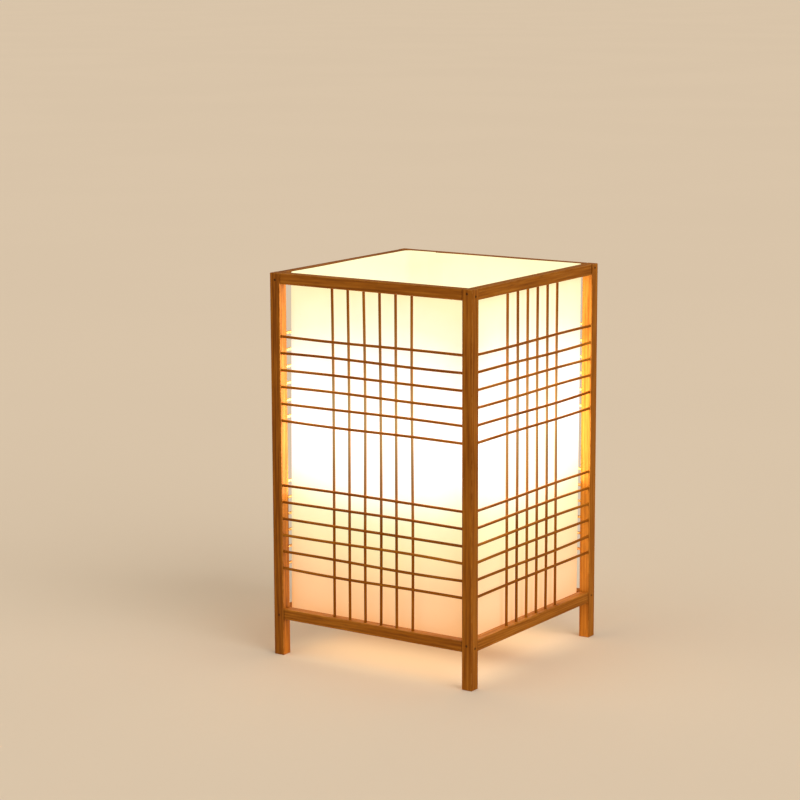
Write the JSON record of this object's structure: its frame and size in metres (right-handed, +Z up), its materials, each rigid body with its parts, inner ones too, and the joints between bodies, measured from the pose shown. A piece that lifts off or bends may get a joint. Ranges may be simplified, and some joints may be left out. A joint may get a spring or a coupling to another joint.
{
  "type": "lantern bedside lamp",
  "caption": "Square lantern lamp: wooden posts and rails hold a lattice of thin sticks over a folded translucent liner, with a screw-in bulb on a hidden cross bar.",
  "frame": {"origin": "centre of the footprint, on the surface that the four posts stand on", "axes": "+Z up, front towards -Y, right towards +X"},
  "size_m": [0.152, 0.152, 0.25],
  "materials": {
    "frame_wood": "oiled, satin",
    "stick_bamboo": "split and rounded bamboo, bare",
    "brad_steel": "dulled wire",
    "liner_sheet": "translucent, frosted",
    "liner_strip": "translucent adhesive strip",
    "zinc_steel": "zinc plated",
    "black_nylon": "moulded",
    "holder_plastic": "moulded",
    "holder_ceramic": "unglazed",
    "contact_brass": "pressed",
    "solder_tin": "solder",
    "black_insulator": "glassy",
    "cap_nickel": "nickel plated",
    "bulb_plastic": "moulded",
    "board_white": "white solder mask",
    "chip_phosphor": "phosphor",
    "bulb_milk": "milky, translucent"
  },
  "bodies": {
    "lamp": {"post_front_left": "frame_wood", "post_front_right": "frame_wood", "post_rear_right": "frame_wood", "post_rear_left": "frame_wood", "upper_rail_front": "frame_wood", "lower_rail_front": "frame_wood", "upright_sticks_front": "stick_bamboo", "upper_band_sticks_front": "stick_bamboo", "lower_band_sticks_front": "stick_bamboo", "upper_rail_right": "frame_wood", "lower_rail_right": "frame_wood", "upright_sticks_right": "stick_bamboo", "upper_band_sticks_right": "stick_bamboo", "lower_band_sticks_right": "stick_bamboo", "upper_rail_rear": "frame_wood", "lower_rail_rear": "frame_wood", "upright_sticks_rear": "stick_bamboo", "upper_band_sticks_rear": "stick_bamboo", "lower_band_sticks_rear": "stick_bamboo", "upper_rail_left": "frame_wood", "lower_rail_left": "frame_wood", "upright_sticks_left": "stick_bamboo", "upper_band_sticks_left": "stick_bamboo", "lower_band_sticks_left": "stick_bamboo", "frame_brads": "brad_steel", "liner": "liner_sheet", "liner_joining_strip": "liner_strip", "lamp_bar": "frame_wood", "nipple": "zinc_steel", "nipple_washer": "zinc_steel", "nipple_nut": "zinc_steel", "cord_bush": "black_nylon", "holder_cap": "holder_plastic", "holder_skirt": "holder_plastic", "holder_insert": "holder_ceramic", "screw_shell": "contact_brass", "centre_contact": "contact_brass", "terminal_screws": "zinc_steel"},
    "bulb_tip": {"bulb_end_contact": "solder_tin"},
    "bulb": {"bulb_cap_insulator": "black_insulator", "bulb_cap_shell": "cap_nickel", "bulb_housing": "bulb_plastic", "led_board": "board_white", "led_chips": "chip_phosphor", "bulb_diffuser": "bulb_milk"}
  },
  "joints": [
    {"name": "bulb_rise", "type": "slide", "parent": "lamp", "child": "bulb_tip", "axis": [0, 0, 1], "range_m": [0, 0.0109]},
    {"name": "bulb_turn", "type": "hinge", "parent": "bulb_tip", "child": "bulb", "pos_m": [0, 0, 0.08], "axis": [0, 0, 1], "range_deg": [0, 1080]}
  ],
  "couplings": [
    {"joint": "bulb_rise", "follows": "bulb_turn", "m_per_rad": 0.00057757}
  ]
}
